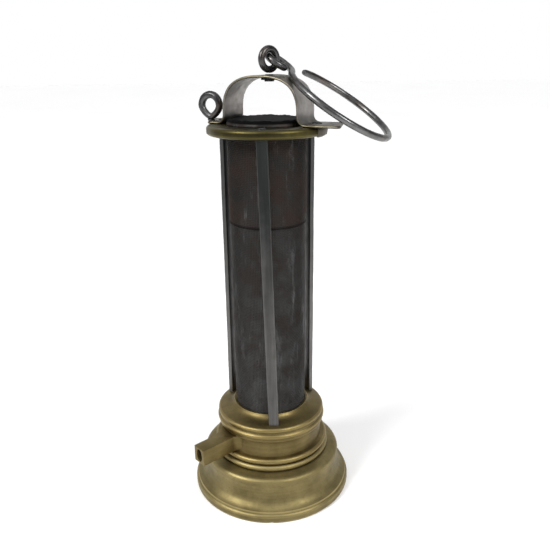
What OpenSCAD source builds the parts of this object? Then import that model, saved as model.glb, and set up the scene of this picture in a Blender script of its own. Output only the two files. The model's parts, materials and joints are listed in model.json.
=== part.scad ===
// Davy-type miner's safety lamp: a spun brass oil vessel screws up into a
// brass frame ring; three flat steel pillars hold a thick brass top ring,
// with a woven wire gauze and a second gauze cap inside; a bent strap carries
// a swivelling eye with an open wire hook, and a second eye stands on its foot.
// Millimetres. Z is up, the origin is the centre of the base that it stands on.

/* [Vessel] */
// Largest radius of the base rim
base_r = 46.2; // [44:0.1:48]
// Height of the top face of the spun vessel
vessel_h = 24.6; // [24:0.1:26]
// Sheet thickness of the vessel
vessel_wall = 1.1; // [0.8:0.1:1.5]
// Radius of the screwed neck, which turns in the frame ring
neck_r = 27; // [26.5:0.1:27.2]
// Height of the rim of the screwed neck
neck_top = 44.3; // [42:0.1:44.3]

/* [Frame] */
// Radius of the drum of the frame ring
drum_r = 29.4; // [29.2:0.1:30]
// Running clearance of the screwed joint on the radius
thread_gap = 0.05; // [0.03:0.01:0.08]
// Number of pillars
pillar_count = 3; // [3:1:3]
// Radius of the circle that the pillars stand on
pillar_pitch_r = 26.6; // [26:0.1:27]
// Width of a pillar along the circle
pillar_w = 5.6; // [4:0.1:6]
// Thickness of a pillar
pillar_t = 2.8; // [2:0.1:3]
// Height of the underside of the top ring
ring_z = 207.4; // [200:0.1:212]
// Thickness of the top ring
ring_h = 4.7; // [4:0.1:5]
// Outer radius of the top ring
ring_r = 31; // [30:0.1:32]

/* [Gauze] */
// Outer radius of the main gauze
gauze_r = 20; // [19.6:0.1:20]
// Thickness of the woven wire
gauze_t = 0.5; // [0.4:0.1:0.6]
// Height of the lower edge of the gauze cap
cap_z = 161.3; // [150:0.1:180]
// How far the gauze cap stands above the top ring
cap_stand = 3.1; // [2.5:0.1:4]

/* [Strap and eyes] */
// Turn of the strap about the lamp's axis, in degrees
strap_turn = -27; // [-35:1:-20]
// Width of the strap
strap_w = 20; // [16:0.5:22]
// Thickness of the strap
strap_t = 1.3; // [1:0.1:1.6]
// Distance between the middles of the strap's two legs
strap_span = 41.4; // [40:0.1:42]
// Height of the strap's crown above the top ring
strap_rise = 24.2; // [23:0.1:26]
// Turn of the swivel eye's plane about the lamp's axis, in degrees
eye_turn = 40; // [36:1:44]
// Radius of the wire of the swivel eye
eye_wire_r = 1.7; // [1.5:0.05:1.75]
// Radius of the wire of the hook
hook_wire_r = 1.75; // [1.5:0.05:1.8]
// Radius of the hook's large open bow, to the middle of the wire
bow_r = 29.3; // [29:0.1:30]

/* [Hidden] */
$fn = 96;

// heights
base_plate_z = 9;
ledge_z = 40.8;
bead_r = 1.7;
washer_z = 28.02;
washer_h = 0.48;
collar_z = washer_z + washer_h + 0.02;
shoulder_z = 46;
tenon_z = 46.8;
cone_z = 51;
ring_top = ring_z + ring_h;
cap_top = ring_top + cap_stand;
cap_crown_r = 19.7;
crown_z = ring_top + strap_rise;

// burner
plate_t = 1.2;
pricker_x = 9;
pricker_r = 0.9;
pricker_tube_r = 1.6;
wick_r = 3.1;
wick_tube_r = 3.7;
fit_gap = 0.05;

// lock
boss_turn = 221;
boss_len = 52.5;
boss_half = 4.4;
boss_flare = 19;
boss_fillet = 4;
boss_z = 37.05;
boss_h = 9.7;
lock_bore_r = 2.05;
recess_depth = 2.6;

// strap
strap_shift = 1;
foot_z = ring_top + strap_t / 2;
spring_z = 218.2;
bend_r = 4;
curve_power = 2.6;
foot_front = [-31, 43.5];
foot_back = [-38, 37.5];
rivet_s = 27;
rivet_r = 1.7;

// eyes and hook
eye_r = 4.9;
eye_c = [1.8, 0, 243.6];
side_eye_c = [-29.6, 15, 220.8];
side_eye_r = 5.4;
side_wire_r = 1.95;
side_tail_r = 1.5;
side_peen_r = 1.9;
loop_r = 6;
loop_c = eye_c + [(eye_r + 0.8) * cos(eye_turn), (eye_r + 0.8) * sin(eye_turn), -1.2];
hook_turn = [-6.6, 33, 6.7];
bow_x = 38;
mouth_angle = 148;
// the hammered collars where the hook's bends meet: how proud and how long
weld = 0.1;
weld_l = 1.2;

steel = [0.45, 0.45, 0.43];
dark_steel = [0.22, 0.22, 0.22];
brass = [0.47, 0.42, 0.22];
iron_gauze = [0.13, 0.13, 0.12];

// points of an arc about c, from angle a to angle b
function arc(c, r, a, b, n = 12) =
    [for (i = [0:n]) let (t = a + (b - a) * i / n) [c[0] + r * cos(t), c[1] + r * sin(t)]];

function reverse(v) = [for (i = [len(v) - 1:-1:0]) v[i]];

module tube(r, inner, z, h) {
    translate([0, 0, z])
        difference() {
            cylinder(r = r, h = h);
            translate([0, 0, -1]) cylinder(r = inner, h = h + 2);
        }
}

module torus(r, wire, from = 0, sweep = 360) {
    rotate([0, 0, from])
        rotate_extrude(angle = sweep)
            translate([r, 0]) circle(r = wire, $fn = 48);
}

// a half-open bead round a ring
module bead(r, z) {
    translate([r - bead_r, z]) circle(r = bead_r, $fn = 48);
}

// ---- oil vessel ----

// side of the bell from the rim up to the shoulder
function bell_side() = concat(
    [[base_r - 0.9, 0]],
    arc([base_r - 1.6, 1.6], 1.6, -60, 0, 5),
    arc([base_r - 2.2, 3.4], 2.2, 0, 60, 6),
    arc([base_r + 2.4, 14.6], 8.8, 245, 192, 8),
    arc([37, 20.9], 2.9, 8, 62, 8),
    [[34.2, vessel_h], [25.5, vessel_h]]
);

// hollow of the bell: the same side, one sheet thickness in
function bell_hollow() = concat(
    [[25.5, vessel_h - vessel_wall], [34.4, vessel_h - vessel_wall]],
    arc([36.4, 20.3], 2.5, 60, 8, 8),
    [[38.7, 16], [39.6, 11.6], [41.6, 8.2], [44.2, 4.6], [44.4, 0]]
);

module vessel_shell() {
    color(brass)
        rotate_extrude()
            polygon(concat(bell_side(), bell_hollow()));
}

module vessel_base() {
    color(brass)
        difference() {
            translate([0, 0, base_plate_z]) cylinder(r = 39.8, h = 1);
            translate([pricker_x, 0, 0]) cylinder(r = pricker_tube_r, h = 20);
        }
}

module vessel_neck() {
    color(brass)
        difference() {
            union() {
                rotate_extrude()
                    difference() {
                        union() {
                            bead(33.7, 26.3);
                            translate([24.2, vessel_h]) square([7.8, 3.4]);
                        }
                        translate([20, washer_z - 0.02]) square([20, 5]);
                        translate([20, vessel_h - 5]) square([20, 5]);
                    }
                tube(neck_r, 24.2, vessel_h, neck_top - vessel_h);
                tube(24.4, 22.4, ledge_z - 2, 2);
            }
            // hole that the lock screw enters when the lamp is locked
            translate([0, 0, boss_z])
                rotate([0, 90, boss_turn])
                    cylinder(r = 2.2, h = 40);
        }
}

module burner_plate() {
    color(brass)
        difference() {
            translate([0, 0, ledge_z]) cylinder(r = 24.15, h = plate_t);
            translate([0, 0, 30]) cylinder(r = wick_tube_r, h = 20);
            translate([pricker_x, 0, 30]) cylinder(r = pricker_tube_r, h = 20);
        }
}

module wick_tube() {
    color(brass) tube(wick_tube_r, wick_r, 31, 26);
}

module wick() {
    color("ivory") translate([0, 0, 12]) cylinder(r = wick_r, h = 47);
}

// ---- pricker ----

module pricker_tube() {
    color(brass)
        translate([pricker_x, 0, 0])
            tube(pricker_tube_r, pricker_r + fit_gap, base_plate_z, 43);
}

module pricker_wire() {
    bend_z = 64;
    tip_x = 1.4;
    color(steel) {
        translate([pricker_x, 0, 2]) cylinder(r = pricker_r, h = bend_z - 2);
        translate([pricker_x, 0, bend_z]) sphere(r = pricker_r, $fn = 48);
        translate([tip_x, 0, bend_z]) rotate([0, 90, 0]) cylinder(r = pricker_r, h = pricker_x - tip_x);
        translate([tip_x, 0, bend_z]) sphere(r = pricker_r, $fn = 48);
        translate([tip_x, 0, bend_z - 3]) cylinder(r = pricker_r, h = 3);
    }
}

module pricker_knob() {
    color(brass)
        difference() {
            translate([pricker_x, 0, 0.6]) cylinder(r = 3.2, h = 2.2);
            translate([pricker_x, 0, 2]) cylinder(r = pricker_r, h = 3);
        }
}

// ---- screwed joint ----

module leather_washer() {
    color("saddlebrown") tube(31.4, neck_r + 0.3, washer_z, washer_h);
}

// ---- frame ring ----

// outside of the ring: bead, drum, two-rounded flange, cone and gauze lip
function ring_side() = concat(
    [[27 + thread_gap, collar_z], [31, collar_z], [31, 31.9], [drum_r, 32.1]],
    [[drum_r - 0.2, 36], [drum_r, 41.4], [30.5, 41.8], [30.8, 42.6]],
    arc([29.9, 45.1], 1.5, -55, 62, 8),
    [[30.45, 47.3]],
    arc([29.4, 49], 1.5, -35, 75, 8),
    [[28.4, cone_z], [24.5, 51.9]],
    arc([25.6, 56.4], 4.6, 252, 205, 6),
    [[20.9, 54.4], [20.35, 54.4], [20.35, shoulder_z], [27 + thread_gap, shoulder_z]]
);

module frame_ring() {
    color(brass)
        difference() {
            rotate_extrude()
                union() {
                    polygon(ring_side());
                    bead(33.1, collar_z + bead_r);
                }
            translate([0, 0, collar_z - 1])
                cylinder(r = neck_r + thread_gap, h = shoulder_z - collar_z + 1);
            for (i = [0:pillar_count - 1])
                translate(pillar_foot(i)) cylinder(r = foot_tenon_r, h = 20);
            translate([0, 0, boss_z])
                rotate([0, 90, boss_turn])
                    cylinder(r = lock_bore_r, h = 40);
        }
}

// where an arc of radius r that is tangent to the drum and to the side of the
// boss has its centre, and how far along the boss's side it meets the drum
function flare_y(r) = boss_half + r;
function flare_x(r) = sqrt(pow(drum_r + r, 2) - pow(flare_y(r), 2));
function meet_y(r) = drum_r * flare_y(r) / (drum_r + r);

// the boss spreads into the drum with a wide hollow at the back and a small
// fillet at the front
module boss_outline() {
    difference() {
        translate([24, -meet_y(boss_flare)])
            square([boss_len - 24, meet_y(boss_flare) + meet_y(boss_fillet)]);
        translate([flare_x(boss_flare), -flare_y(boss_flare)]) circle(r = boss_flare);
        translate([flare_x(boss_flare), -boss_half - 20]) square([20, 20]);
        translate([flare_x(boss_fillet), flare_y(boss_fillet)]) circle(r = boss_fillet);
        translate([flare_x(boss_fillet), boss_half]) square([30, 20]);
    }
}

module lock_boss() {
    color(brass)
        difference() {
            rotate([0, 0, boss_turn])
                translate([0, 0, boss_z - boss_h / 2 + 0.2])
                    linear_extrude(height = boss_h - 0.4) boss_outline();
            rotate_extrude() polygon(ring_side());
            cylinder(r = drum_r - 0.3, h = 60);
            translate([0, 0, boss_z])
                rotate([0, 90, boss_turn])
                    cylinder(r = lock_bore_r, h = 60);
            rotate([0, 0, boss_turn])
                for (lift = [-1.4, 1.4])
                    translate([boss_len - recess_depth, 0, boss_z + lift])
                        rotate([0, 90, 0]) cylinder(r = 2.4, h = 10);
            rotate([0, 0, boss_turn])
                translate([boss_len - recess_depth, -2.4, boss_z - 1.4]) cube([10, 4.8, 2.8]);
        }
}

module lock_screw() {
    color(dark_steel)
        rotate([0, 0, boss_turn])
            difference() {
                translate([27.7, 0, boss_z]) rotate([0, 90, 0]) cylinder(r = 2, h = 22.6);
                translate([49.4, -0.35, boss_z - 3]) cube([2, 0.7, 6]);
            }
}

// ---- pillars ----

// angle of pillar i, how far each end is out of line with its place, and how
// far its upper tenon reaches: the left one also goes through the strap's foot
function pillar_angle(i) = -90 + 120 * i;
pillar_lean = [[1.75, -2.2], [0, 0], [0, 0]];
function tenon_h(i) = ring_h + (i == 2 ? strap_t : 0);
foot_tenon_r = 1.5;
head_tenon_r = 1.6;

function on_circle(i, off) =
    [
        pillar_pitch_r * cos(pillar_angle(i)) - off * sin(pillar_angle(i)),
        pillar_pitch_r * sin(pillar_angle(i)) + off * cos(pillar_angle(i)),
        0
    ];
function pillar_foot(i) = on_circle(i, pillar_lean[i][0]) + [0, 0, tenon_z];
function pillar_head(i) = on_circle(i, pillar_lean[i][1]) + [0, 0, ring_z];

module pillar(i) {
    bar = ring_z - cone_z;
    lean = pillar_lean[i];
    color(steel) {
        intersection() {
            rotate([0, 0, pillar_angle(i)])
                translate([pillar_pitch_r, (lean[0] + lean[1]) / 2, cone_z + bar / 2])
                    rotate([atan((lean[0] - lean[1]) / bar), 0, 0])
                        cube([pillar_t, pillar_w, bar + 4], center = true);
            rotate_extrude()
                polygon([
                    [0, 51.9], [24.5, 51.9], [28.4, cone_z], [60, 49], [60, ring_z], [0, ring_z]
                ]);
        }
        translate(pillar_foot(i)) cylinder(r = foot_tenon_r, h = cone_z + 1 - tenon_z);
        translate(pillar_head(i)) cylinder(r = head_tenon_r, h = tenon_h(i));
    }
}

module pillar_front() { pillar(0); }
module pillar_right() { pillar(1); }
module pillar_left() { pillar(2); }

// ---- top ring ----

// section of the ring, its outer corners rounded, grown by g
module ring_section(g = 0) {
    corner = 1.8;
    translate([20.9, ring_z - g]) square([ring_r - corner - 20.9, ring_h + 2 * g]);
    translate([25, ring_z + corner]) square([ring_r - 25 + g, ring_h - 2 * corner]);
    for (z = [ring_z + corner, ring_top - corner])
        translate([ring_r - corner, z]) circle(r = corner + g, $fn = 48);
}

module top_ring() {
    color(brass)
        difference() {
            rotate_extrude() ring_section();
            for (i = [0:pillar_count - 1])
                translate(pillar_head(i) - [0, 0, 1]) cylinder(r = head_tenon_r, h = ring_h + 2);
            place_strap() rivet(1);
        }
}

// ---- gauze ----

module gauze_ring() {
    color(brass) tube(26.4, gauze_r, 44.5, shoulder_z - 44.5);
}

module gauze() {
    color(iron_gauze) tube(gauze_r, gauze_r - gauze_t, 44.5, ring_top - 44.5 - 0.5);
}

module gauze_crown() {
    color(iron_gauze) translate([0, 0, ring_top - 0.5]) cylinder(r = gauze_r, h = gauze_t);
}

// outside of the cap, its wall drawn in to the crown, grown by g
function cap_side(g) = [
    [0, cap_z], [gauze_r + 0.6 + g, cap_z], [gauze_r + 0.6 + g, ring_top + 0.4],
    [cap_crown_r + g, cap_top - gauze_t], [cap_crown_r + g, cap_top + g], [0, cap_top + g]
];

module gauze_cap() {
    color(iron_gauze)
        rotate_extrude()
            difference() {
                polygon(cap_side(0));
                polygon(cap_side(-gauze_t));
                translate([0, cap_z - 1]) square([gauze_r + 0.1, 2]);
                translate([0, cap_top - gauze_t]) square([30, 5]);
            }
}

module cap_crown() {
    color(iron_gauze) translate([0, 0, cap_top - gauze_t]) cylinder(r = cap_crown_r, h = gauze_t);
}

// ---- strap ----

// middle line of one half of the strap, from the foot's end up to the crown
function strap_half(reach) = concat(
    [[reach, foot_z]],
    arc([strap_span / 2 + bend_r, foot_z + bend_r], bend_r, 270, 180, 8),
    [for (i = [1:16]) let (v = 90 * i / 16) [
        strap_span / 2 * pow(cos(v), 2 / curve_power),
        spring_z + (crown_z - strap_t / 2 - spring_z) * pow(sin(v), 2 / curve_power)
    ]]
);
function mirrored(points) = [for (p = points) [-p[0], p[1]]];
function strap_line() = let (right = strap_half(50), left = mirrored(strap_half(50)))
    concat(right, [for (i = [len(left) - 2:-1:0]) left[i]]);

// the line moved sideways by d, square to the line
function beside(line, d) = [
    for (i = [0:len(line) - 1])
        let (
            a = line[max(i - 1, 0)],
            b = line[min(i + 1, len(line) - 1)],
            s = norm(b - a)
        )
        line[i] + d / s * [a[1] - b[1], b[0] - a[0]]
];

module place_strap() {
    translate([strap_shift, 0, 0]) rotate([0, 0, strap_turn]) children();
}

module rivet(extra) {
    translate([rivet_s, 0, ring_z - extra])
        cylinder(r = rivet_r, h = ring_h + strap_t + 2 * extra);
}

// a tongue of the foot, bent down round the rim of the ring
module tongue(middle) {
    rotate([0, 0, middle - 11])
        rotate_extrude(angle = 22)
            difference() {
                ring_section(1.05);
                ring_section(0.05);
                translate([0, ring_z - 5]) square([29, 20]);
                translate([0, ring_top + strap_t / 2]) square([40, 20]);
            }
}

module strap() {
    line = strap_line();
    color("darkkhaki")
        difference() {
            union() {
                place_strap()
                    intersection() {
                        rotate([90, 0, 0])
                            translate([0, 0, -strap_w / 2])
                                linear_extrude(height = strap_w)
                                    polygon(concat(
                                        beside(line, strap_t / 2),
                                        reverse(beside(line, -strap_t / 2))
                                    ));
                        linear_extrude(height = 300)
                            polygon([
                                [foot_front[0], -strap_w / 2], [foot_front[1], -strap_w / 2],
                                [foot_back[1], strap_w / 2], [foot_back[0], strap_w / 2]
                            ]);
                    }
                tongue(strap_turn + 2);
                tongue(strap_turn + 178);
            }
            place_strap() rivet(1);
            translate(pillar_head(2)) cylinder(r = head_tenon_r, h = 20);
            rotate_extrude() polygon(cap_side(0.05));
            translate([eye_c[0], 0, 230]) cylinder(r = eye_wire_r + fit_gap, h = 20);
            translate([side_eye_c[0], side_eye_c[1], 205]) cylinder(r = side_tail_r, h = 20);
            translate([side_eye_c[0], side_eye_c[1], 205])
                cylinder(r = side_peen_r + fit_gap, h = ring_top - 205);
        }
}

module strap_rivet() {
    color(steel) place_strap() rivet(0);
}

// ---- eyes and hook ----

module swivel_eye() {
    color(dark_steel) {
        translate(eye_c) rotate([90, 0, eye_turn]) torus(eye_r, eye_wire_r);
        translate([eye_c[0], 0, crown_z - 3.4]) cylinder(r = eye_wire_r, h = 4.6);
        translate([eye_c[0], 0, crown_z - 3.4]) cylinder(r = 2.5, h = 0.9);
    }
}

module swivel_washer() {
    color(steel)
        translate([eye_c[0], 0, 0]) tube(4.2, eye_wire_r, crown_z - 2.5, 0.9);
}

module weld_collar(turn) {
    rotate([0, 90, turn]) cylinder(r = hook_wire_r + weld, h = weld_l, center = true);
}

// the hook lies in its own plane: a closed loop, a bend and a large open bow,
// each an arc that is tangent to the next
module hook() {
    bend_r = (bow_x * bow_x + loop_r * loop_r - bow_r * bow_r) / (2 * (bow_r + loop_r));
    from = -180 + asin((bend_r - loop_r) / (bow_r + bend_r));
    color(dark_steel)
        translate(loop_c)
            rotate([0, 0, hook_turn[0]])
                rotate([0, hook_turn[1], 0])
                    rotate([hook_turn[2], 0, 0]) {
                        torus(loop_r, hook_wire_r, 90, 240);
                        translate([0, loop_r, 0]) weld_collar(0);
                        translate([0, loop_r - bend_r, 0])
                            torus(bend_r, hook_wire_r, from + 180, -90 - from);
                        translate([bow_x + bow_r * cos(from), bow_r * sin(from), 0])
                            weld_collar(from + 90);
                        translate([bow_x, 0, 0])
                            torus(bow_r, hook_wire_r, from, mouth_angle - from);
                    }
}

module side_eye() {
    tail_z = ring_top - 0.9;
    color(dark_steel) {
        translate(side_eye_c) rotate([90, 0, strap_turn]) torus(side_eye_r, side_wire_r);
        translate([side_eye_c[0], side_eye_c[1], tail_z]) cylinder(r = side_tail_r, h = 4);
        translate([side_eye_c[0], side_eye_c[1], tail_z]) cylinder(r = side_peen_r, h = 0.9);
    }
}

vessel_shell();
vessel_base();
vessel_neck();
burner_plate();
wick_tube();
wick();
pricker_tube();
pricker_wire();
pricker_knob();
leather_washer();
frame_ring();
lock_boss();
lock_screw();
gauze_ring();
gauze();
gauze_crown();
gauze_cap();
cap_crown();
pillar_front();
pillar_right();
pillar_left();
top_ring();
strap();
strap_rivet();
swivel_eye();
swivel_washer();
hook();
side_eye();
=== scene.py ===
import json
import math

import bmesh
import bpy
import numpy as np
from mathutils import Matrix, Vector, noise


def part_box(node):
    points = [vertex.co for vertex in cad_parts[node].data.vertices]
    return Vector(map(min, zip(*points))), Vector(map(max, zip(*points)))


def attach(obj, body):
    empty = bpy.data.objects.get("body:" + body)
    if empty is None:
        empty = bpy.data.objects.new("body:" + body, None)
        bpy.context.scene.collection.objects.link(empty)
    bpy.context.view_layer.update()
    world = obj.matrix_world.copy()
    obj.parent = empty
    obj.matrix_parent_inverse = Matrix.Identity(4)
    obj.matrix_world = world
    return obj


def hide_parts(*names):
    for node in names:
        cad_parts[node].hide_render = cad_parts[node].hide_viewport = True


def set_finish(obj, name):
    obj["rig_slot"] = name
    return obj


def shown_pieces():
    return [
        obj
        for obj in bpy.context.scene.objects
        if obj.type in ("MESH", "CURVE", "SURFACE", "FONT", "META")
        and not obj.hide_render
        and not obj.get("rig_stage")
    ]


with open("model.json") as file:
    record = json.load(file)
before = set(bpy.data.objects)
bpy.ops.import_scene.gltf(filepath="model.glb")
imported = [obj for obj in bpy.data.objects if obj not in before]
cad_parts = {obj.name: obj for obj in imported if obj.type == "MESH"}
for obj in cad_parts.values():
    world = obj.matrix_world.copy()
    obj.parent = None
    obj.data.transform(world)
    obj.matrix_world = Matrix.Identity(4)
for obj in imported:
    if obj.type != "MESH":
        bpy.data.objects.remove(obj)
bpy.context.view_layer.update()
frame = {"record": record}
SLOT_OF = {p["node"]: p["material_slot"] for p in frame["record"]["subparts"]}

MM = 0.001


def low(node):
    """A CAD node's lowest corner, in millimetres."""
    return Vector(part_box(node)[0]) / MM


def high(node):
    """A CAD node's highest corner, in millimetres."""
    return Vector(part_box(node)[1]) / MM


# ---- sizes in millimetres, from the frame ----

BASE_R = high("vessel_shell").x
VESSEL_H = high("vessel_shell").z
NECK_R = 27.0
NECK_TOP = high("vessel_neck").z
WASHER_Z = low("leather_washer").z
COLLAR_Z = low("frame_ring").z
RING_R = high("top_ring").x
RING_Z = low("top_ring").z
RING_TOP = high("top_ring").z
GAUZE_R = high("gauze").x
CAP_Z = low("gauze_cap").z
CAP_TOP = high("cap_crown").z
CAP_R = high("gauze_cap").x
THREAD_PITCH = 2.0
STRAP_TURN = math.radians(-27)
STRAP_SHIFT = 1.0
STRAP_W = 20.0
STRAP_T = 1.3
CROWN_Z = 236.3
PILLAR_W = 5.6
PILLAR_T = 2.8
PILLAR_PITCH_R = 26.6
PILLAR_LEAN = {"pillar_front": (1.75, -2.2), "pillar_right": (0, 0), "pillar_left": (0, 0)}
BOSS_TURN = math.radians(221)
BOSS_Z = 37.05
BOSS_LEN = 52.5
BOSS_HALF = 4.4
BOSS_FLARE = 19.0
BOSS_FILLET = 4.0
DRUM_R = 29.4
EYE = Vector((1.8, 0, 243.6))
SIDE_EYE = Vector((-29.6, 15, 220.8))


# ---- mesh helpers ----

def arc(centre, r, a, b, n=16):
    """Points of an arc about centre, from a to b degrees."""
    turns = [math.radians(a + (b - a) * i / n) for i in range(n + 1)]
    return [(centre[0] + r * math.cos(t), centre[1] + r * math.sin(t)) for t in turns]


def wobble(x, y, z, size, seed=0.0):
    """Smooth noise from -1 to 1, with bumps about size millimetres wide."""
    return noise.noise(Vector((x / size + seed, y / size - seed, z / size + 3 * seed)))


def make_object(name, verts, faces, body, slot, replaced=(), sharp=40):
    """A mesh in millimetres becomes a piece in metres that rides on a body."""
    mesh = bpy.data.meshes.new(name)
    mesh.from_pydata((np.asarray(verts, float) * MM).tolist(), [], faces)
    mesh.update()
    return finish_piece(name, mesh, body, slot, replaced, sharp)


def finish_piece(name, mesh, body, slot, replaced=(), sharp=40):
    bm = bmesh.new()
    bm.from_mesh(mesh)
    bmesh.ops.recalc_face_normals(bm, faces=bm.faces)
    bm.to_mesh(mesh)
    bm.free()
    mesh.shade_smooth()
    mesh.set_sharp_from_angle(angle=math.radians(sharp))
    obj = bpy.data.objects.new(name, mesh)
    bpy.context.scene.collection.objects.link(obj)
    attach(obj, body)
    if replaced:
        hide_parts(*replaced)
    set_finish(obj, slot)
    return obj


def set_wear(obj, values):
    """Stores how worn each vertex is, from 0 to 1, for the materials; on round bars it marks one side for a
    painted highlight.
    """
    attribute = obj.data.attributes.new("wear", "FLOAT", "POINT")
    attribute.data.foreach_set("value", np.asarray(values, np.float32))


def profile_wear(profile):
    """Worn bright where a closed outline turns outwards tightly."""
    points = np.array(profile)
    before = points - np.roll(points, 1, 0)
    after = np.roll(points, -1, 0) - points
    cross = before[:, 0] * after[:, 1] - before[:, 1] * after[:, 0]
    lengths = np.hypot(*before.T), np.hypot(*after.T)
    turn = np.arcsin(np.clip(cross / (lengths[0] * lengths[1] + 1e-9), -1, 1))
    area = np.sum(points[:, 0] * np.roll(points[:, 1], -1) - np.roll(points[:, 0], -1) * points[:, 1])
    bend = turn * math.copysign(1, area) / np.maximum((lengths[0] + lengths[1]) / 2, 0.15)
    return np.clip((bend - 0.15) / 0.9, 0, 1)


def lathe(name, profile, body, slot, replaced=(), steps=220, shape=None, sharp=40):
    """A closed outline of (radius, height) turned about the lamp's axis.
    shape(angle, r, z) gives the worn radius and height at each point."""
    verts, wear = [], []
    worn = profile_wear(profile)
    for i in range(steps):
        a = 2 * math.pi * i / steps
        for (r, z), w in zip(profile, worn):
            if shape:
                r, z = shape(a, r, z)
            verts.append((r * math.cos(a), r * math.sin(a), z))
            wear.append(w)
    n = len(profile)
    faces = [
        (i * n + k, ((i + 1) % steps) * n + k, ((i + 1) % steps) * n + (k + 1) % n, i * n + (k + 1) % n)
        for i in range(steps)
        for k in range(n)
    ]
    obj = make_object(name, verts, faces, body, slot, replaced, sharp)
    set_wear(obj, wear)
    return obj


def dense(profile, longest=1.5):
    """The closed outline with no side longer than longest."""
    out = []
    for (r0, z0), (r1, z1) in zip(profile, profile[1:] + profile[:1]):
        n = max(1, math.ceil(math.hypot(r1 - r0, z1 - z0) / longest))
        out += [(r0 + (r1 - r0) * i / n, z0 + (z1 - z0) * i / n) for i in range(n)]
    return out


def sweep(name, points, radii, body, slot, replaced=(), sides=20, squash=1.0):
    """A round bar along points, with rounded-off cut ends."""
    pts = [Vector(p) for p in points]
    tangents = [
        (pts[min(i + 1, len(pts) - 1)] - pts[max(i - 1, 0)]).normalized() for i in range(len(pts))
    ]
    side = tangents[0].orthogonal().normalized()
    verts, wear = [], []
    for p, t, r in zip(pts, tangents, radii):
        side = (side - t * side.dot(t)).normalized()
        other = t.cross(side)
        for k in range(sides):
            a = 2 * math.pi * k / sides
            verts.append(p + side * (r * math.cos(a)) + other * (r * squash * math.sin(a)))
            # painted highlight: the side of the wire at angle zero is marked most, and dark_steel paints it
            # pale
            wear.append(0.5 + 0.5 * math.cos(a))
    n = len(pts)
    faces = [
        (i * sides + k, i * sides + (k + 1) % sides, (i + 1) * sides + (k + 1) % sides, (i + 1) * sides + k)
        for i in range(n - 1)
        for k in range(sides)
    ]
    faces.append(tuple(range(sides)))
    faces.append(tuple((n - 1) * sides + k for k in reversed(range(sides))))
    obj = make_object(name, verts, faces, body, slot, replaced, 50)
    set_wear(obj, wear)
    return obj


def bar_radii(n, r, chamfer=3, rough=0.03):
    """Radii along a bar of wire, drawn in at both cut ends."""
    radii = []
    for i in range(n):
        end = min(i, n - 1 - i)
        shrink = (1, 0.97, 0.9, 0.72)[max(0, chamfer - end)] if end < chamfer else 1
        radii.append(r * shrink * (1 + rough * wobble(i, 0, r, 4, 5)))
    return radii


# ---- materials ----

class Nodes:
    """A material's node tree with short calls."""

    def __init__(self, name):
        self.material = bpy.data.materials.new(name)
        self.material.use_nodes = True
        self.tree = self.material.node_tree
        self.shader = self.tree.nodes["Principled BSDF"]
        self.coords = self.tree.nodes.new("ShaderNodeTexCoord").outputs["Object"]

    def link(self, a, b):
        self.tree.links.new(a, b)

    def noise(self, scale, detail=3.0, rough=0.55, stretch=(1, 1, 1)):
        mapping = self.tree.nodes.new("ShaderNodeMapping")
        mapping.inputs["Scale"].default_value = [s * scale for s in stretch]
        self.link(self.coords, mapping.inputs["Vector"])
        node = self.tree.nodes.new("ShaderNodeTexNoise")
        node.inputs["Scale"].default_value = 1.0
        node.inputs["Detail"].default_value = detail
        node.inputs["Roughness"].default_value = rough
        self.link(mapping.outputs["Vector"], node.inputs["Vector"])
        return node.outputs["Fac"]

    def ramp(self, value, stops):
        """Colours (or greys) along a value: stops are (place, colour)."""
        node = self.tree.nodes.new("ShaderNodeValToRGB")
        node.color_ramp.elements[0].position = stops[0][0]
        node.color_ramp.elements[1].position = stops[-1][0]
        while len(node.color_ramp.elements) < len(stops):
            node.color_ramp.elements.new(0.5)
        for element, (place, colour) in zip(node.color_ramp.elements, stops):
            element.position = place
            if isinstance(colour, (int, float)):
                colour = (colour,) * 3
            element.color = (*colour, 1)
        self.link(value, node.inputs["Fac"])
        return node.outputs["Color"]

    def mix(self, factor, a, b, mode="MIX"):
        node = self.tree.nodes.new("ShaderNodeMix")
        node.data_type = "RGBA"
        node.blend_type = mode
        for socket, value in ((node.inputs["Factor"], factor), (node.inputs["A"], a), (node.inputs["B"], b)):
            self.feed(socket, value)
        return [o for o in node.outputs if o.type == "RGBA"][0]

    def feed(self, socket, value):
        if isinstance(value, bpy.types.NodeSocket):
            self.link(value, socket)
        elif isinstance(value, tuple):
            socket.default_value = (*value, 1)
        else:
            socket.default_value = value

    def math(self, operation, a, b=0.0):
        node = self.tree.nodes.new("ShaderNodeMath")
        node.operation = operation
        self.feed(node.inputs[0], a)
        self.feed(node.inputs[1], b)
        return node.outputs[0]

    def height(self):
        """Height above the floor, in metres."""
        node = self.tree.nodes.new("ShaderNodeSeparateXYZ")
        self.link(self.coords, node.inputs[0])
        return node.outputs["Z"]

    def above(self, z, span):
        """0 at z and 1 at span above it, both in millimetres."""
        return self.math("DIVIDE", self.math("SUBTRACT", self.height(), z * MM), span * MM)

    def wear(self):
        node = self.tree.nodes.new("ShaderNodeAttribute")
        node.attribute_name = "wear"
        return node.outputs["Fac"]

    def bump(self, value, depth, strength=0.5):
        node = self.tree.nodes.new("ShaderNodeBump")
        node.inputs["Strength"].default_value = strength
        node.inputs["Distance"].default_value = depth
        self.link(value, node.inputs["Height"])
        self.link(node.outputs["Normal"], self.shader.inputs["Normal"])

    def finish(self, colour, rough, metallic):
        self.feed(self.shader.inputs["Base Color"], colour)
        self.feed(self.shader.inputs["Roughness"], rough)
        self.shader.inputs["Metallic"].default_value = metallic
        return self.material


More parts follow.
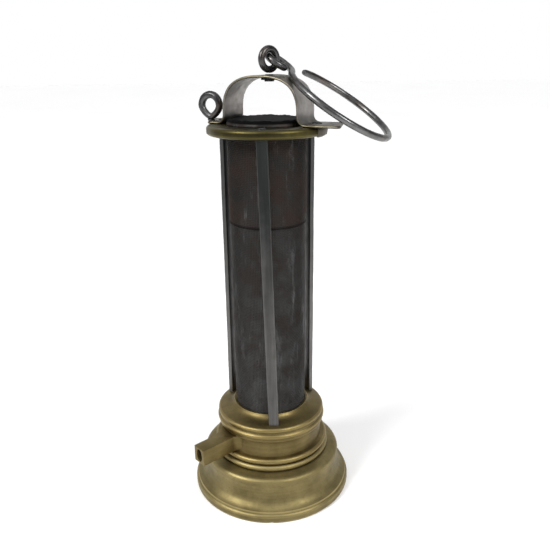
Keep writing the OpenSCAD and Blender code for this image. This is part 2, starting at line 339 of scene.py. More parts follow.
def brass(name, dark, mid, bright, shine):
    """Aged brass: olive tarnish in cloudy patches, lathe rings, and edges rubbed bright."""
    m = Nodes(name)
    clouds = m.noise(55, 4, 0.6)
    rings = m.noise(60, 2, 0.5, (0.3, 0.3, 14))
    specks = m.noise(900, 2, 0.6)
    tarnish = m.ramp(clouds, [(0.3, dark), (0.52, mid), (0.72, bright)])
    ringed = m.mix(0.2, tarnish, m.ramp(rings, [(0.3, dark), (0.7, bright)]))
    speckled = m.mix(m.ramp(specks, [(0.56, 0.0), (0.7, 0.35)]), ringed, dark)
    rubbed_and_highlight = m.mix(m.math("MULTIPLY", m.wear(), 0.7), speckled, tuple(min(1, 1.7 * c) for c in bright))
    rough = m.ramp(m.noise(140, 4, 0.7), [(0.3, shine), (0.7, shine + 0.14)])
    m.bump(m.math("ADD", m.math("MULTIPLY", rings, 0.6), specks), 0.00004, 0.35)
    return m.finish(rubbed_and_highlight, rough, 1.0)


def steel(name, dark, mid, bright, shine):
    """Worn iron: fine marks, brown stains, and a painted highlight along one side of each wire."""
    m = Nodes(name)
    patches = m.noise(90, 5, 0.65)
    marks = m.noise(260, 3, 0.6)
    base = m.ramp(patches, [(0.3, dark), (0.5, mid), (0.72, bright)])
    marked = m.mix(0.35, base, m.ramp(marks, [(0.35, dark), (0.65, bright)]))
    stain = m.ramp(m.noise(60, 5, 0.7), [(0.5, 0.0), (0.68, 0.25)])
    stained = m.mix(stain, marked, (0.16, 0.09, 0.05))
    # painted highlight: a pale grey streak along the marked side of each wire
    rubbed_and_highlight = m.mix(m.math("MULTIPLY", m.wear(), 0.4), stained, (0.36, 0.36, 0.35))
    rough = m.ramp(m.noise(320, 3, 0.6), [(0.3, shine), (0.7, shine + 0.22)])
    m.bump(m.math("ADD", marks, m.noise(700, 3, 0.6)), 0.00006, 0.4)
    return m.finish(rubbed_and_highlight, rough, 1.0)


def pillar_iron(name):
    """Flat iron bar, sooted dark near the top and rubbed to grey lower down."""
    m = Nodes(name)
    up = m.above(60, 120)
    grime = m.math("ADD", up, m.math("MULTIPLY", m.math("SUBTRACT", m.noise(70, 4, 0.6), 0.5), 0.5))
    marks = m.noise(300, 3, 0.6, (1, 1, 0.06))
    grey = m.ramp(marks, [(0.3, (0.07, 0.067, 0.064)), (0.7, (0.14, 0.136, 0.131))])
    soot = m.ramp(marks, [(0.3, (0.008, 0.01, 0.01)), (0.7, (0.02, 0.023, 0.022))])
    base = m.mix(m.ramp(grime, [(0.25, 0.0), (0.95, 1.0)]), grey, soot)
    stained = m.mix(m.ramp(m.noise(110, 5, 0.7), [(0.55, 0.0), (0.72, 0.35)]), base, (0.05, 0.037, 0.026))
    rubbed_and_highlight = m.mix(m.math("MULTIPLY", m.wear(), 0.2), stained, (0.3, 0.3, 0.29))
    m.bump(m.math("ADD", marks, m.noise(600, 3, 0.6)), 0.00007, 0.4)
    return m.finish(rubbed_and_highlight, m.ramp(m.noise(200, 4), [(0.3, 0.36), (0.7, 0.55)]), 1.0)


def strap_tin(name):
    """Tinned sheet iron: pale grey faces with darker streaks, olive-brown along the edges, darker over the
    crown, and near the feet dark with soot and painted shade.
    """
    m = Nodes(name)
    base = m.ramp(m.noise(75, 5, 0.6), [
        (0.3, (0.26, 0.245, 0.23)), (0.55, (0.38, 0.36, 0.34)), (0.75, (0.48, 0.46, 0.44)),
    ])
    streak = m.ramp(m.noise(240, 4, 0.65, (1, 1, 0.3)), [(0.4, 0.0), (0.7, 0.4)])
    streaked = m.mix(streak, base, (0.2, 0.18, 0.15))
    # soot and painted shade: the legs turn almost black in the last few millimetres above the ring
    low_part = m.ramp(m.above(RING_TOP, 8), [(0.2, 0.9), (0.9, 0.0)])
    crown = m.ramp(m.above(228, 7), [(0.1, 0.0), (0.9, 0.8)])
    feet_soot_and_shade = m.mix(low_part, m.mix(crown, streaked, (0.1, 0.09, 0.064)), (0.03, 0.026, 0.017))
    edged = m.mix(m.math("MULTIPLY", m.wear(), 0.9), feet_soot_and_shade, (0.13, 0.112, 0.07))
    m.bump(m.math("ADD", m.noise(500, 4, 0.6), m.noise(90, 2)), 0.00008, 0.4)
    return m.finish(edged, m.ramp(m.noise(260, 4), [(0.3, 0.34), (0.7, 0.55)]), 0.95)


def sooted(name, low_colour, high_colour, brown, z0, z1, hem=0.0):
    """Sooted iron wire: greyer below, brown above, with paler scuffs, black on the cap's crown.
    hem is how dark the cap's lower edge is."""
    m = Nodes(name)
    base = m.mix(m.above(z0, z1 - z0), low_colour, high_colour)
    patches = m.ramp(m.noise(70, 5, 0.65), [(0.42, 0.0), (0.62, 1.0)])
    tinted = m.mix(m.math("MULTIPLY", patches, 0.6), base, brown)
    streaks = m.ramp(m.noise(170, 5, 0.75, (1, 1, 0.2)), [(0.57, 0.0), (0.72, 0.8)])
    edge = m.ramp(m.above(CAP_Z, 1.6), [(0.5, hem), (1.0, 0.0)])
    scuffed = m.mix(edge, m.mix(streaks, tinted, (0.2, 0.2, 0.2)), (0.008, 0.007, 0.007))
    crown = m.ramp(m.above(CAP_TOP - 3, 3), [(0.3, 0.0), (0.6, 1.0)])
    m.bump(m.noise(1500, 2), 0.00005, 0.4)
    rough = m.math("MAXIMUM", m.ramp(patches, [(0.0, 0.5), (1.0, 0.7)]), m.math("MULTIPLY", crown, 0.9))
    return m.finish(m.mix(crown, scuffed, (0.006, 0.006, 0.006)), rough, 0.95)


def leather(name):
    m = Nodes(name)
    base = m.ramp(m.noise(180, 5, 0.7), [(0.3, (0.03, 0.017, 0.01)), (0.7, (0.11, 0.06, 0.032))])
    m.bump(m.noise(1400, 4, 0.65), 0.0001, 0.5)
    return m.finish(base, m.ramp(m.noise(300), [(0.3, 0.55), (0.7, 0.8)]), 0.0)


def cotton(name, top):
    """Plaited cotton, charred and black towards its tip."""
    m = Nodes(name)
    strands = m.noise(1400, 2, 0.5, (1, 1, 0.25))
    base = m.ramp(strands, [(0.35, (0.3, 0.24, 0.15)), (0.65, (0.62, 0.54, 0.4))])
    below_tip = m.math("DIVIDE", m.math("SUBTRACT", top * MM, m.height()), 6 * MM)
    char = m.ramp(below_tip, [(0.2, 1.0), (0.9, 0.0)])
    m.bump(strands, 0.00025, 0.8)
    return m.finish(m.mix(char, base, (0.012, 0.011, 0.01)), 0.9, 0.0)


def make_materials():
    return {
        "vessel_brass": brass(
            "vessel_brass", (0.1, 0.078, 0.032), (0.185, 0.15, 0.067), (0.245, 0.198, 0.088), 0.44,
        ),
        "frame_brass": brass(
            "frame_brass", (0.09, 0.068, 0.027), (0.155, 0.119, 0.049), (0.22, 0.17, 0.07), 0.4,
        ),
        "ring_brass": brass(
            "ring_brass", (0.02, 0.019, 0.01), (0.042, 0.036, 0.015), (0.08, 0.066, 0.022), 0.36,
        ),
        "pillar_steel": pillar_iron("pillar_steel"),
        "strap_steel": strap_tin("strap_steel"),
        "dark_steel": steel(
            "dark_steel", (0.022, 0.022, 0.023), (0.042, 0.042, 0.043), (0.13, 0.13, 0.13), 0.24,
        ),
        "iron_gauze": sooted(
            "iron_gauze", (0.085, 0.085, 0.083), (0.045, 0.043, 0.042), (0.055, 0.045, 0.038), 46, 190,
        ),
        "cap_gauze": sooted(
            "cap_gauze", (0.05, 0.046, 0.043), (0.034, 0.032, 0.03), (0.07, 0.047, 0.038), 160, 215, 0.7,
        ),
        "washer_leather": leather("washer_leather"),
        "wick": cotton("wick", high("wick").z),
    }


# ---- oil vessel ----

def nicked(a, r, z):
    """The rim is slightly out of round, with small dents and one nick at the front."""
    x, y = r * math.cos(a), r * math.sin(a)
    out = 0.12 * wobble(x, y, z, 22, 2)
    if r > BASE_R - 4 and z < 4:
        away = math.hypot(x + 0.4, y + r) / 0.9
        out -= 0.7 * math.exp(-away * away) * max(0, 1 - z / 4)
    return r + out, z


def build_vessel():
    side = [(BASE_R - 0.9, 0.0)]
    side += arc((BASE_R - 1.6, 1.6), 1.6, -60, 0, 8)
    side += arc((BASE_R - 2.2, 3.4), 2.2, 0, 60, 12)
    side += arc((BASE_R + 2.4, 14.6), 8.8, 245, 192, 22)
    side += arc((37, 20.9), 2.9, 8, 62, 14)
    side += [(34.2, VESSEL_H), (32.5, VESSEL_H + 0.02), (25.5, VESSEL_H)]
    hollow = [(25.5, VESSEL_H - 1.1), (34.4, VESSEL_H - 1.1)]
    hollow += arc((36.4, 20.3), 2.5, 60, 8, 8)
    hollow += [(38.7, 16), (39.6, 11.6), (41.6, 8.2), (44.2, 4.6), (44.4, 0)]
    outline = dense(side + hollow)
    lathe("vessel_shell_spun", outline, "vessel", "vessel_brass", ["vessel_shell"], shape=nicked)


def thread(a, r, z):
    """The screw thread that is cut into the outside of the neck."""
    if r > NECK_R - 0.1 and WASHER_Z + 0.8 < z < NECK_TOP - 0.5:
        wave = 0.5 + 0.5 * math.cos(2 * math.pi * z / THREAD_PITCH - a)
        r -= 0.5 * wave ** 0.7
    return r, z


def build_neck():
    inner = 24.2
    side = [(inner, VESSEL_H), (32.0, VESSEL_H)]
    side += [p for p in arc((32.0, 26.3), 1.7, -88, 88, 20) if p[1] < WASHER_Z - 0.04]
    side += [(32.0, WASHER_Z - 0.02), (NECK_R, WASHER_Z - 0.02)]
    threads = int((NECK_TOP - WASHER_Z) / 0.22)
    side += [(NECK_R, WASHER_Z + (NECK_TOP - 0.4 - WASHER_Z) * i / threads) for i in range(1, threads + 1)]
    side += [(NECK_R - 0.4, NECK_TOP), (inner, NECK_TOP)]
    side += [(inner, 40.8), (22.4, 40.8), (22.4, 38.8), (inner, 38.8)]
    lathe("vessel_neck_threaded", side, "vessel", "vessel_brass", ["vessel_neck"], steps=240, shape=thread)


# ---- frame ring and lock ----

def build_frame_ring():
    bore = NECK_R + 0.05
    side = [(bore, COLLAR_Z), (31.4, COLLAR_Z)]
    side += arc((31.4, COLLAR_Z + 1.7), 1.7, -85, 85, 20)
    side += [(30.2, 31.95), (29.55, 32.15), (29.4, 32.5), (29.25, 36), (29.35, 40.6), (29.6, 41.4)]
    side += [(30.3, 41.75), (30.75, 42.3), (30.85, 43.2)]
    side += arc((29.9, 45.1), 1.5, -50, 62, 14)
    side += [(30.42, 46.9), (30.4, 47.4), (30.6, 47.9)]
    side += arc((29.4, 49), 1.5, -30, 78, 14)
    side += [(28.4, 51), (24.6, 51.85)]
    side += arc((25.6, 56.4), 4.6, 250, 205, 12)
    side += [(20.95, 54.4), (20.4, 54.4), (20.35, 54.2), (20.35, 46), (bore, 46)]
    lathe("frame_ring_turned", dense(side, 2.0), "frame", "frame_brass", ["frame_ring"])


def flared_side(r):
    """One side of the lock boss seen from above, from the drum to its end, tangent to both."""
    across = BOSS_HALF + r
    along = math.sqrt((DRUM_R + r) ** 2 - across ** 2)
    meet = math.degrees(math.atan2(across, along))
    return meet, arc((along, across), r, 180 + meet, 270, 22) + [(BOSS_LEN, BOSS_HALF)]


def flared_outline():
    """The lock boss seen from above, along x: a small fillet at the front, a wide hollow behind."""
    front, near = flared_side(BOSS_FILLET)
    back, far = flared_side(BOSS_FLARE)
    return near + [(x, -y) for x, y in reversed(far)] + arc((0, 0), DRUM_R - 0.5, -back, front, 16)


def cutter(name, build):
    mesh = bpy.data.meshes.new(name)
    bm = bmesh.new()
    build(bm)
    bm.to_mesh(mesh)
    bm.free()
    obj = bpy.data.objects.new(name, mesh)
    bpy.context.scene.collection.objects.link(obj)
    return obj


def evaluated_mesh(obj):
    """The object's mesh with its modifiers applied, and the object removed."""
    depsgraph = bpy.context.evaluated_depsgraph_get()
    mesh = bpy.data.meshes.new_from_object(obj.evaluated_get(depsgraph))
    bpy.data.objects.remove(obj)
    return mesh


def build_lock_boss():
    bottom, top = low("lock_boss").z, high("lock_boss").z
    outline = flared_outline()

    def block(bm):
        ring = [bm.verts.new((x * MM, y * MM, bottom * MM)) for x, y in outline]
        face = bm.faces.new(ring)
        moved = bmesh.ops.extrude_face_region(bm, geom=[face])
        verts = [g for g in moved["geom"] if isinstance(g, bmesh.types.BMVert)]
        bmesh.ops.translate(bm, verts=verts, vec=(0, 0, (top - bottom) * MM))
        bmesh.ops.recalc_face_normals(bm, faces=bm.faces)

    def slot(bm):
        turn = Matrix.Rotation(math.radians(90), 4, "Y")
        at = Matrix.Translation(Vector((BOSS_LEN, 0, BOSS_Z)) * MM)
        stretch = Matrix.Diagonal((1, 1, 1.6, 1))
        bmesh.ops.create_cone(
            bm, cap_ends=True, segments=40, radius1=2.4 * MM, radius2=2.4 * MM, depth=5.2 * MM,
            matrix=at @ stretch @ turn,
        )

    def bore(bm):
        turn = Matrix.Rotation(math.radians(90), 4, "Y")
        at = Matrix.Translation(Vector((BOSS_LEN - 14, 0, BOSS_Z)) * MM)
        bmesh.ops.create_cone(
            bm, cap_ends=True, segments=32, radius1=2.05 * MM, radius2=2.05 * MM, depth=27 * MM,
            matrix=at @ turn,
        )

    boss = cutter("boss_block", block)
    holes = [cutter("boss_slot", slot), cutter("boss_bore", bore)]
    for hole in holes:
        cut = boss.modifiers.new(hole.name, "BOOLEAN")
        cut.object = hole
        cut.solver = "EXACT"
    soften = boss.modifiers.new("soften", "BEVEL")
    soften.width = 0.55 * MM
    soften.segments = 3
    soften.limit_method = "ANGLE"
    soften.angle_limit = math.radians(50)
    mesh = evaluated_mesh(boss)
    for hole in holes:
        bpy.data.objects.remove(hole)
    mesh.transform(Matrix.Rotation(BOSS_TURN, 4, "Z"))
    obj = finish_piece("lock_boss_cast", mesh, "frame", "frame_brass", ["lock_boss"])
    set_wear(obj, [0.15] * len(obj.data.vertices))


# ---- pillars ----

def pillar_place(i, off, z):
    a = math.radians(-90 + 120 * i)
    x = PILLAR_PITCH_R * math.cos(a) - off * math.sin(a)
    y = PILLAR_PITCH_R * math.sin(a) + off * math.cos(a)
    return Vector((x, y, z))


def rounded_rect(w, t, r, n=3):
    """Corner-rounded rectangle, w by t, as points round its centre."""
    corners = ((1, 1, 0), (-1, 1, 90), (-1, -1, 180), (1, -1, 270))
    out = []
    for sx, sy, start in corners:
        out += arc((sx * (w / 2 - r), sy * (t / 2 - r)), r, start, start + 90, n)
    return out


def build_pillar(name, i):
    """A flat bar with worn, slightly wavy edges, its foot let into the ring and its head riveted over."""
    foot, head = PILLAR_LEAN[name]
    a = math.radians(-90 + 120 * i)
    radial = Vector((math.cos(a), math.sin(a), 0))
    around = Vector((-math.sin(a), math.cos(a), 0))
    steps = 110
    section = rounded_rect(PILLAR_W, PILLAR_T, 0.6)
    verts, wear = [], []
    for k in range(steps + 1):
        v = k / steps
        z = 49.6 + (RING_Z - 49.6) * v
        centre = pillar_place(i, foot + (head - foot) * v, z)
        centre += around * 0.18 * wobble(0, i, z, 40, i) + radial * 0.12 * wobble(i, 0, z, 30, i + 3)
        grow = 1 + 0.035 * wobble(z, i, 0, 9, 1) + 0.02 * wobble(z, 0, i, 3, 4)
        for x, y in section:
            verts.append(centre + around * x * grow + radial * y * grow)
            wear.append(min(1, (abs(x) / (PILLAR_W / 2)) ** 6))
    n = len(section)
    faces = [
        (k * n + s, k * n + (s + 1) % n, (k + 1) * n + (s + 1) % n, (k + 1) * n + s)
        for k in range(steps)
        for s in range(n)
    ]
    faces += [tuple(range(n)), tuple(steps * n + s for s in reversed(range(n)))]
    obj = make_object(name + "_bar", verts, faces, "frame", "pillar_steel", [name])
    set_wear(obj, wear)
    top = RING_TOP + (STRAP_T if i == 2 else 0)
    rivet_head(name + "_tenon", pillar_place(i, head, top), 2.6, 0.7, "pillar_steel")


def rivet_head(name, at, r, h, slot, body="frame", replaced=(), stem=1.0):
    """A hammered head: a low dome, a little uneven."""
    rings, steps = 7, 28
    verts = [(at[0], at[1], at[2] + h)]
    for k in range(1, rings + 1):
        t = math.pi / 2 * k / rings
        for s in range(steps):
            a = 2 * math.pi * s / steps
            uneven = 1 + 0.07 * wobble(math.cos(a) * 3, math.sin(a) * 3, at[0], 2, 6)
            radius = r * math.sin(t) * uneven
            x, y = at[0] + radius * math.cos(a), at[1] + radius * math.sin(a)
            verts.append((x, y, at[2] + h * math.cos(t)))
    for s in range(steps):
        x, y, z = verts[1 + (rings - 1) * steps + s]
        verts.append((x, y, z - stem))
    faces = [(0, 1 + s, 1 + (s + 1) % steps) for s in range(steps)]
    for k in range(rings):
        first, second = 1 + k * steps, 1 + (k + 1) * steps
        faces += [
            (first + s, second + s, second + (s + 1) % steps, first + (s + 1) % steps)
            for s in range(steps)
        ]
    faces.append(tuple(1 + rings * steps + s for s in range(steps)))
    obj = make_object(name, verts, faces, body, slot, replaced)
    set_wear(obj, [0.4] * len(verts))


# ---- top ring ----

def build_top_ring():
    c = 1.7
    side = [(20.9, RING_Z + 0.3), (21.2, RING_Z)]
    side += arc((RING_R - c, RING_Z + c), c, -90, 0, 10)
    side += arc((RING_R - c, RING_TOP - c), c, 0, 90, 10)
    side += [(21.3, RING_TOP), (20.9, RING_TOP - 0.4)]

    def worn(a, r, z):
        x, y = r * math.cos(a), r * math.sin(a)
        return r + 0.1 * wobble(x, y, z, 14, 8) * (r > 24), z + 0.06 * wobble(x, y, z, 9, 1)

    lathe("top_ring_turned", dense(side), "frame", "ring_brass", ["top_ring"], shape=worn)


# ---- woven gauze ----

def dent(a, z):
    """How far the gauze is pushed in or out, in millimetres."""
    x, y = 20 * math.cos(a), 20 * math.sin(a)
    return 0.32 * wobble(x, y, z * 0.35, 9, 2) + 0.1 * wobble(x, y, z, 6, 5)


def weave(name, r, z0, z1, pitch, around, wire, body, slot, replaced=()):
    """Plain-woven wire round a cylinder: upright wires and rings that pass over and under each other."""
    levels = int((z1 - z0) / pitch)
    angles = [2 * math.pi * i / around for i in range(around)]
    heights = [z0 + (z1 - z0) * k / levels for k in range(levels + 1)]
    dents = [[dent(a, z) for z in heights] for a in angles]
    lift = wire * 0.8

    upright, faces = [], []
    for i, a in enumerate(angles):
        first = len(upright)
        for k, z in enumerate(heights):
            centre = r + dents[i][k] + lift * (-1) ** (i + k)
            tilt = a + 0.0025 * wobble(i, z * 0.1, 0, 3, 3)
            for dr, ds in ((wire, 0), (0, wire), (-wire, 0), (0, -wire)):
                turn = tilt + ds / r
                upright.append(((centre + dr) * math.cos(turn), (centre + dr) * math.sin(turn), z))
        for k in range(levels):
            for s in range(4):
                p, q = first + 4 * k + s, first + 4 * k + (s + 1) % 4
                faces.append((p, q, q + 4, p + 4))
    make_object(name + "_uprights", upright, faces, body, slot, replaced, 100)

    rings, faces = [], []
    for k, z in enumerate(heights):
        first = len(rings)
        for i, a in enumerate(angles):
            centre = r + dents[i][k] - lift * (-1) ** (i + k)
            for dr, dz in ((wire, 0), (0, wire), (-wire, 0), (0, -wire)):
                rings.append(((centre + dr) * math.cos(a), (centre + dr) * math.sin(a), z + dz))
        for i in range(around):
            for s in range(4):
                p, q = first + 4 * i + s, first + 4 * i + (s + 1) % 4
                ahead = 4 if i < around - 1 else -4 * i
                faces.append((p, q, q + ahead, p + ahead))
    make_object(name + "_rings", rings, faces, body, slot, (), 100)


def build_gauze():
    """Each gauze is woven wire over the soot that clogs it."""
    wire = 0.17
    for name, node, r, z0, z1, slot in (
        ("gauze", "gauze", GAUZE_R - 0.15, low("gauze").z, CAP_Z + 3, "iron_gauze"),
        ("gauze_cap", "gauze_cap", CAP_R - 0.17, CAP_Z, RING_TOP + 0.6, "cap_gauze"),
    ):
        top = RING_TOP - 0.5 if node == "gauze" else z1

        def pushed(a, radius, z):
            return radius + dent(a, z), z

        film = [(r - 0.42, z0), (r - 0.12, z0), (r - 0.12, top), (r - 0.42, top)]
        lathe(name + "_soot", dense(film, 2.0), "frame", slot, [node], steps=140, shape=pushed)
        weave(name, r, z0, z1, 0.9, 140, wire, "frame", slot)


def build_cap_crown():
    """The cap's top: a disc whose edge is folded down over the wall, crumpled all round."""
    rim = CAP_R - 0.05
    fold = RING_TOP + 0.3
    side = [(0.05, CAP_TOP - 0.25), (12.0, CAP_TOP - 0.1), (17.5, CAP_TOP - 0.05), (18.7, CAP_TOP)]
    side += [(19.5, CAP_TOP - 0.25), (20.0, CAP_TOP - 0.8), (rim, fold + 0.6), (rim, fold)]
    side += [(rim - 0.5, fold), (rim - 0.5, fold + 0.6), (19.2, CAP_TOP - 1.2), (0.05, CAP_TOP - 0.9)]

    def crumpled(a, r, z):
        x, y = r * math.cos(a), r * math.sin(a)
        near_rim = min(1, max(0, (r - 13) / 6))
        low_part = 1 if z < fold + 0.4 else 0
        z += near_rim * (0.45 * wobble(x, y, 0, 4, 9) + 0.3 * wobble(x, y, 0, 1.6, 3))
        z += 0.2 * wobble(x, y, 0, 7, 4)
        z += 0.25 * low_part * wobble(x, y, 0, 2.2, 7)
        return min(r + 0.18 * near_rim * wobble(x, y, z, 3, 5), CAP_R + 0.1), min(z, CAP_TOP + 0.5)

    outline = dense(side, 1.2)
    lathe("cap_crown_folded", outline, "frame", "cap_gauze", ["cap_crown"], steps=200, shape=crumpled)


# ---- strap ----

FOOT_MID = RING_TOP + STRAP_T / 2
LEG = 20.7
BEND_R = 4.0
SPRING_Z = 218.2
POWER = 2.6


def strap_path():
    """Middle line of the strap in (s, z), from the left foot over the crown to the right foot."""
    half = [(50.0, FOOT_MID)]
    half += [(LEG + BEND_R + 0.01 + (25.3 - BEND_R) * (1 - i / 10), FOOT_MID) for i in range(1, 11)]
    half += arc((LEG + BEND_R, FOOT_MID + BEND_R), BEND_R, 270, 180, 14)
    rise = CROWN_Z - STRAP_T / 2 - SPRING_Z
    for i in range(1, 41):
        v = math.radians(90 * i / 40)
        half.append((LEG * math.cos(v) ** (2 / POWER), SPRING_Z + rise * math.sin(v) ** (2 / POWER)))
    left = [(-s, z) for s, z in half]
    return left + half[::-1][1:]


def resampled(path, start, end, n):
    """n + 1 points along path between the places where it crosses s = start and s = end."""
    pts = np.array(path)
    length = np.concatenate([[0], np.cumsum(np.hypot(*np.diff(pts, axis=0).T))])
    middle = len(pts) // 2
    a = np.interp(start, pts[:12, 0], length[:12])
    b = np.interp(end, pts[-12:, 0], length[-12:])
    at = np.linspace(a, b, n + 1)
    return np.stack([np.interp(at, length, pts[:, 0]), np.interp(at, length, pts[:, 1])], 1), at, middle


def place_strap(s, t, z):
    """From the strap's own length, width and height to the lamp's frame."""
    c, d = math.cos(STRAP_TURN), math.sin(STRAP_TURN)
    return (STRAP_SHIFT + s * c - t * d, s * d + t * c, z)


def edge_round(distance, r):
    """Half thickness, as a share, near a rounded edge."""
    if distance >= r:
        return 1.0
    return math.sqrt(max(0.0, 1 - (1 - distance / r) ** 2))


def build_strap():
    path = strap_path()
    r = 0.55
    edge = [0, 0.06, 0.18, 0.35, 0.55]
    near, far = [-STRAP_W / 2 + e for e in edge], [STRAP_W / 2 - e for e in edge[::-1]]
    across = near + list(np.linspace(-8.6, 8.6, 17)) + far
    n = 230
    top, bottom, wear = [], [], []
    for t in across:
        share = (t + STRAP_W / 2) / STRAP_W
        start = -31 - 7 * share
        end = 43.5 - 6 * share
        corner = max(0, abs(t) - (STRAP_W / 2 - 2.5)) / 2.5
        inset = 2.5 * (1 - math.sqrt(max(0, 1 - corner * corner)))
        line, at, _ = resampled(path, start + inset, end - inset, n)
        step = np.gradient(line, axis=0)
        step /= np.hypot(*step.T)[:, None]
        total = at[-1] - at[0]
        for k in range(n + 1):
            s, z = line[k]
            normal = (-step[k, 1], step[k, 0])
            from_end = min(at[k] - at[0], at[-1] - at[k])
            share_t = edge_round(STRAP_W / 2 - abs(t), r) * edge_round(from_end, r)
            thick = STRAP_T / 2 * (0.94 + 0.06 * wobble(s, t, z, 5, 2)) * share_t
            push = 0.12 * wobble(s, t, z, 12, 6) * (1 if z > FOOT_MID + 1 else 0.3)
            side = t + 0.22 * wobble(s, 0, z, 7, 4) * (abs(t) / 10) ** 4
            mid_s, mid_z = s + normal[0] * push, z + normal[1] * push
            top.append(place_strap(mid_s + normal[0] * thick, side, mid_z + normal[1] * thick))
            bottom.append(place_strap(mid_s - normal[0] * thick, side, mid_z - normal[1] * thick))
            wear.append(1 - share_t)
    rows, cols = len(across), n + 1
    verts = top + bottom
    half = rows * cols
    faces = []
    for i in range(rows - 1):
        for k in range(n):
            a, b = i * cols + k, (i + 1) * cols + k
            faces.append((a, b, b + 1, a + 1))
            faces.append((half + a, half + a + 1, half + b + 1, half + b))
    for k in range(n):
        faces.append((k, k + 1, half + k + 1, half + k))
        last = (rows - 1) * cols + k
        faces.append((last, half + last, half + last + 1, last + 1))
    for i in range(rows - 1):
        a, b = i * cols, (i + 1) * cols
        faces.append((a, half + a, half + b, b))
        faces.append((a + n, b + n, half + b + n, half + a + n))
    obj = make_object("strap_bent", verts, faces, "frame", "strap_steel", ["strap"], 60)
    set_wear(obj, wear + wear)
    for name, middle in (("strap_tongue_right", -25), ("strap_tongue_left", 151)):
        build_tongue(name, math.radians(middle))


def build_tongue(name, middle):
    """A tongue of the strap's foot, hammered down round the rim of the ring."""
    half_w = 6.2
    section = [(RING_R - 3.5, RING_TOP + 1.1)]
    section += arc((RING_R - 1.7, RING_TOP - 1.7 + 0.05), 2.75, 90, 0, 8)
    section += [(RING_R + 1.0, RING_Z + 2.2), (RING_R + 0.7, RING_Z + 0.3)]
    section += arc((RING_R - 1.7, RING_Z + 1.7), 2.4, -25, -80, 5)
    inner = [(RING_R - 1.2, RING_Z - 0.1), (RING_R + 0.1, RING_Z + 1.2), (RING_R + 0.1, RING_TOP - 1.4)]
    inner += [(RING_R - 1.0, RING_TOP - 0.1), (RING_R - 3.5, RING_TOP + 0.1)]
    outline = section + inner
    steps = 24
    verts, wear = [], []
    for k in range(steps + 1):
        v = -1 + 2 * k / steps
        a = middle + half_w * v / RING_R
        end = math.sqrt(max(0.0, 1 - abs(v) ** 5))
        for r, z in outline:
            low_part = max(0, (RING_TOP - z) / (RING_TOP - RING_Z))
            z += low_part * (1 - end) * 2.5
            r = RING_R + (r - RING_R) * (0.75 + 0.25 * end)
            verts.append((r * math.cos(a), r * math.sin(a), z + 0.1 * wobble(k, r, z, 3, 3)))
            wear.append(0.3)
    n = len(outline)
    faces = [
        (k * n + s, k * n + (s + 1) % n, (k + 1) * n + (s + 1) % n, (k + 1) * n + s)
        for k in range(steps)
        for s in range(n)
    ]
    faces += [tuple(range(n)), tuple(steps * n + s for s in reversed(range(n)))]
    obj = make_object(name, verts, faces, "frame", "strap_steel", (), 60)
    set_wear(obj, wear)


# ---- eyes and hook ----

def turned(points, origin, *turns):
    """Points in a piece's own frame, turned about x, y and z in that order and moved to origin."""
    matrix = Matrix.Identity(3)
    for axis, degrees in turns:
        matrix = Matrix.Rotation(math.radians(degrees), 3, axis) @ matrix
    return [Vector(origin) + matrix @ Vector(p) for p in points]


def build_eyes():
    eye_r, wire = 4.9, 1.7
    ring = [(x, 0, y) for x, y in arc((0, 0), eye_r, -90, 262, 56)]
    ring = turned(ring, EYE, ("Z", 40))
    stem = [(EYE.x, 0, CROWN_Z - 3.3 + 0.5 * i) for i in range(8)]
    sweep("swivel_eye_ring", ring, [wire * (1 + 0.02 * wobble(i, 0, 0, 5, 2)) for i in range(57)],
          "swivel", "dark_steel", ["swivel_eye"])
    sweep("swivel_eye_stem", stem, [2.4, 2.5, 2.3, wire, wire, wire, 1.9, 2.0], "swivel", "dark_steel")
    side_r, side_wire = 5.4, 1.95
    drop = []
    for i in range(65):
        a = math.radians(-90 + 360 * i / 64)
        pinch = max(0, -math.sin(a)) ** 2
        drop.append((side_r * math.cos(a) * (1 - 0.3 * pinch), 0, side_r * math.sin(a) * (1 + 0.07 * pinch)))
    drop = turned(drop, SIDE_EYE, ("Z", -27))
    radii = [side_wire * (1 - 0.14 * max(0, -math.sin(math.radians(-90 + 360 * i / 64)))) for i in range(65)]
    sweep("side_eye_drop", drop, radii, "frame", "dark_steel", ["side_eye"])
    foot = [(SIDE_EYE.x, SIDE_EYE.y, RING_TOP - 0.8 + 0.4 * i) for i in range(7)]
    sweep("side_eye_tail", foot, [1.8, 1.9, 1.5, 1.5, 1.6, 1.9, 2.0], "frame", "dark_steel")


def build_hook():
    loop_r, bow_r, bow_x, wire = 6.0, 29.3, 38.0, 1.75
    turn = math.radians(40)
    loop_c = EYE + Vector((5.7 * math.cos(turn), 5.7 * math.sin(turn), -1.2))
    bend_r = (bow_x ** 2 + loop_r ** 2 - bow_r ** 2) / (2 * (bow_r + loop_r))
    start = -180 + math.degrees(math.asin((bend_r - loop_r) / (bow_r + bend_r)))
    loop = arc((0, 0), loop_r, 330, 90, 50)
    bend = arc((0, loop_r - bend_r), bend_r, 90, start + 180, 24)
    bow = arc((bow_x, 0), bow_r, start, 148, 150)
    line = [(x, y, 0) for x, y in loop + bend[1:] + bow[1:]]
    line = turned(line, loop_c, ("X", 6.7), ("Y", 33), ("Z", -6.6))
    sweep("hook_wire", line, bar_radii(len(line), wire), "hook", "dark_steel", ["hook"], sides=24)


# ---- floor, light and camera ----

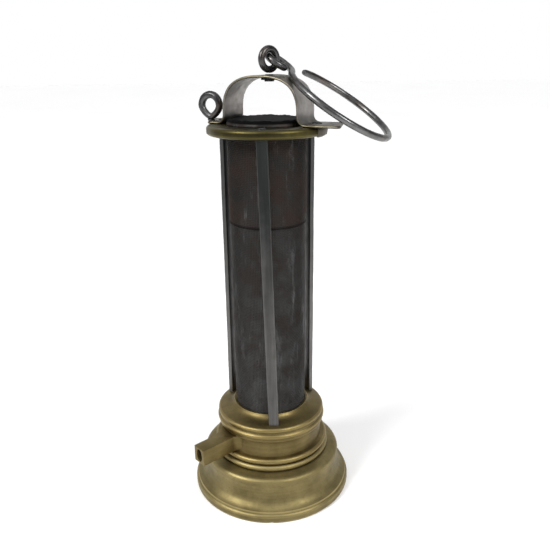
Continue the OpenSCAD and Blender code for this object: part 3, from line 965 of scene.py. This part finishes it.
def build_stage():
    mesh = bpy.data.meshes.new("floor")
    size = 6.0
    corners = [(-size, -size, 0), (size, -size, 0), (size, size, 0), (-size, size, 0)]
    mesh.from_pydata(corners, [], [(0, 1, 2, 3)])
    floor = bpy.data.objects.new("floor", mesh)
    bpy.context.scene.collection.objects.link(floor)
    m = Nodes("floor_white")
    tone = m.ramp(m.noise(3, 2), [(0.3, 0.86), (0.7, 0.9)])
    white = m.finish(tone, 0.9, 0.0)
    shader = next(n for n in white.node_tree.nodes if n.type == "BSDF_PRINCIPLED")
    shader.inputs["Emission Color"].default_value = (1, 1, 1, 1)
    shader.inputs["Emission Strength"].default_value = 0.12
    mesh.materials.append(white)
    floor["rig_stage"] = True

    world = bpy.data.worlds.new("studio")
    bpy.context.scene.world = world
    world.use_nodes = True
    tree = world.node_tree
    background = tree.nodes["Background"]
    coords = tree.nodes.new("ShaderNodeTexCoord")
    split = tree.nodes.new("ShaderNodeSeparateXYZ")
    ramp = tree.nodes.new("ShaderNodeValToRGB")
    ramp.color_ramp.elements[0].position = 0.3
    ramp.color_ramp.elements[0].color = (0.3, 0.3, 0.31, 1)
    ramp.color_ramp.elements[1].position = 0.8
    ramp.color_ramp.elements[1].color = (1, 1, 1, 1)
    tree.links.new(coords.outputs["Generated"], split.inputs[0])
    tree.links.new(split.outputs["Y"], ramp.inputs["Fac"])
    tree.links.new(ramp.outputs["Color"], background.inputs["Color"])
    background.inputs["Strength"].default_value = 1.0
    bpy.context.scene.view_settings.view_transform = "Standard"


def softbox(name, at, target, size, watts, colour=(1, 1, 1)):
    light = bpy.data.lights.new(name, "AREA")
    light.shape = "RECTANGLE"
    light.size, light.size_y = size
    light.energy = watts
    light.color = colour
    obj = bpy.data.objects.new(name, light)
    bpy.context.scene.collection.objects.link(obj)
    obj.location = at
    obj.rotation_euler = (Vector(target) - Vector(at)).to_track_quat("-Z", "Y").to_euler()


def build_lights():
    sun = bpy.data.objects.new("key_left", bpy.data.lights.new("key_left", "SUN"))
    sun.data.energy = 2.9
    sun.data.angle = math.radians(24)
    sun.rotation_euler = Vector((1.0, 0.75, -0.95)).to_track_quat("-Z", "Y").to_euler()
    bpy.context.scene.collection.objects.link(sun)
    softbox("top", (0.0, -0.35, 1.6), (0, 0, 0.1), (1.4, 1.4), 6)
    softbox("fill_right", (0.7, -0.7, 0.8), (0, 0, 0.05), (0.35, 0.35), 8)


def build_camera():
    """At the lamp's front, a little above its top, looking down."""
    camera = bpy.data.objects.new("camera", bpy.data.cameras.new("camera"))
    bpy.context.scene.collection.objects.link(camera)
    camera.data.lens = 41.27
    camera.data.sensor_width = 36
    camera.data.clip_start = 0.01
    pitch, roll = math.radians(19.17), math.radians(-0.71)
    ahead = Vector((0, math.cos(pitch), -math.sin(pitch)))
    right = Vector((1, 0, 0))
    up = Vector((0, math.sin(pitch), math.cos(pitch)))
    right, up = (
        math.cos(roll) * right + math.sin(roll) * up,
        -math.sin(roll) * right + math.cos(roll) * up,
    )
    turn = Matrix((right, up, -ahead)).transposed().to_4x4()
    camera.matrix_world = Matrix.Translation(Vector((3.41, -330.8, 245.1)) * MM) @ turn
    bpy.context.scene.camera = camera


def paint(materials):
    """Every shown piece takes the material of its slot."""
    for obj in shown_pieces():
        slot = obj.get("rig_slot") or SLOT_OF.get(obj.name)
        obj.data.materials.clear()
        obj.data.materials.append(materials[slot])


build_stage()
build_lights()
build_camera()
build_vessel()
build_neck()
build_frame_ring()
build_lock_boss()
for index, pillar in enumerate(("pillar_front", "pillar_right", "pillar_left")):
    build_pillar(pillar, index)
build_top_ring()
build_gauze()
build_cap_crown()
build_strap()
rivet = place_strap(27, 0, RING_TOP + STRAP_T)
rivet_head("strap_rivet_head", rivet, 2.6, 0.8, "pillar_steel")
build_eyes()
build_hook()
paint(make_materials())
